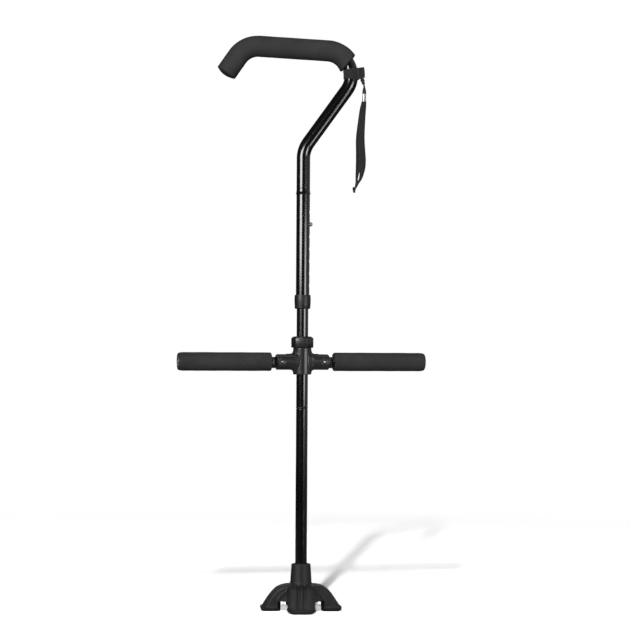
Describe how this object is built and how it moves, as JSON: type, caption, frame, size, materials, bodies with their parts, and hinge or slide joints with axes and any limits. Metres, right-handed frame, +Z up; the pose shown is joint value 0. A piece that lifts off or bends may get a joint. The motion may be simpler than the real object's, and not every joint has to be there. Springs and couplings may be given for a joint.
{
  "type": "quad walking cane",
  "caption": "Offset-handle walking cane with a wide rubber pad base, telescoping shaft, fold-up side bars on a clamp hub, foam grips and a wrist strap.",
  "frame": {"origin": "on the floor under the shaft, on the shaft's axis", "axes": "+Z up along the shaft, +X towards the handle's front bend and the snap button, the handle in the XZ plane"},
  "size_m": [0.4062, 0.1332, 0.9357],
  "materials": {
    "black_enamel": "glossy black enamel",
    "bare_aluminium": "plain drawn tube",
    "black_plastic": "moulded, satin gloss",
    "hub_plastic": "moulded, high gloss",
    "grey_nylon": "moulded nylon",
    "foam": "matte closed-cell foam",
    "foot_rubber": "moulded rubber, matte",
    "bright_steel": "bright plated",
    "elastic": "braided elastic cord",
    "webbing": "woven webbing"
  },
  "bodies": {
    "lower_section": {"quad_foot": "foot_rubber", "foot_washer": "bright_steel", "lower_tube": "black_enamel", "lower_joint_spigot": "black_plastic", "lower_shock_cord": "elastic"},
    "middle_section": {"middle_tube": "black_enamel", "middle_cord_plug": "black_plastic", "button_spring": "bright_steel"},
    "button": {"snap_button": "bright_steel"},
    "outer_section": {"outer_tube": "black_enamel", "collar_ring": "grey_nylon", "upper_joint_spigot": "black_plastic", "upper_shock_cord": "elastic"},
    "collar": {"lock_collar": "black_plastic"},
    "handle_section": {"handle_tube": "black_enamel", "handle_grip": "foam", "handle_plug": "black_plastic", "handle_cord_plug": "black_plastic", "strap_band": "webbing", "strap_tab": "webbing", "strap_link": "webbing", "strap_bead": "black_plastic", "strap_ferrule": "bright_steel", "wrist_strap": "webbing", "strap_knot": "webbing"},
    "hub_clamp": {"hub_collet": "grey_nylon"},
    "hub": {"hub_body": "hub_plastic", "left_hinge_pin": "bright_steel", "right_hinge_pin": "bright_steel"},
    "nut": {"hub_nut": "hub_plastic"},
    "left_bar": {"left_hinge_lug": "black_plastic", "left_bar_tube": "bare_aluminium", "left_bar_grip": "foam", "left_bar_plug": "black_plastic"},
    "right_bar": {"right_hinge_lug": "black_plastic", "right_bar_tube": "bare_aluminium", "right_bar_grip": "foam", "right_bar_plug": "black_plastic"}
  },
  "joints": [
    {"name": "lower_joint_pull", "type": "slide", "parent": "lower_section", "child": "middle_section", "axis": [0, 0, 1], "range_m": [0, 0.03], "stiffness_N_per_m": 200, "springref_m": -0.05, "deforming": ["lower_shock_cord"]},
    {"name": "button_press", "type": "slide", "parent": "middle_section", "child": "button", "axis": [1, 0, 0], "range_m": [-0.0058, 0], "stiffness_N_per_m": 800, "springref_m": 0.002, "deforming": ["button_spring"]},
    {"name": "height_adjust", "type": "slide", "parent": "middle_section", "child": "outer_section", "axis": [0, 0, 1], "range_m": [-0.02, 0.1]},
    {"name": "collar_twist", "type": "hinge", "parent": "outer_section", "child": "collar", "pos_m": [0, 0, 0.5023], "axis": [0, 0, 1], "range_deg": [0, 120]},
    {"name": "upper_joint_pull", "type": "slide", "parent": "outer_section", "child": "handle_section", "axis": [0, 0, 1], "range_m": [0, 0.03], "stiffness_N_per_m": 200, "springref_m": -0.05, "deforming": ["upper_shock_cord"]},
    {"name": "hub_slide", "type": "slide", "parent": "middle_section", "child": "hub_clamp", "axis": [0, 0, 1], "range_m": [-0.045, 0.015]},
    {"name": "hub_swivel", "type": "hinge", "parent": "hub_clamp", "child": "hub", "pos_m": [0, 0, 0.4048], "axis": [0, 0, 1], "continuous": true},
    {"name": "nut_turn", "type": "hinge", "parent": "hub", "child": "nut", "pos_m": [0, 0, 0.4369], "axis": [0, 0, 1], "range_deg": [0, 270]},
    {"name": "left_bar_fold", "type": "hinge", "parent": "hub", "child": "left_bar", "pos_m": [-0.03453, -0.00734, 0.4048], "axis": [-0.2079, 0.9781, 0], "range_deg": [0, 90]},
    {"name": "right_bar_fold", "type": "hinge", "parent": "hub", "child": "right_bar", "pos_m": [0.03453, 0.00734, 0.4048], "axis": [0.2079, -0.9781, 0], "range_deg": [0, 90]}
  ]
}
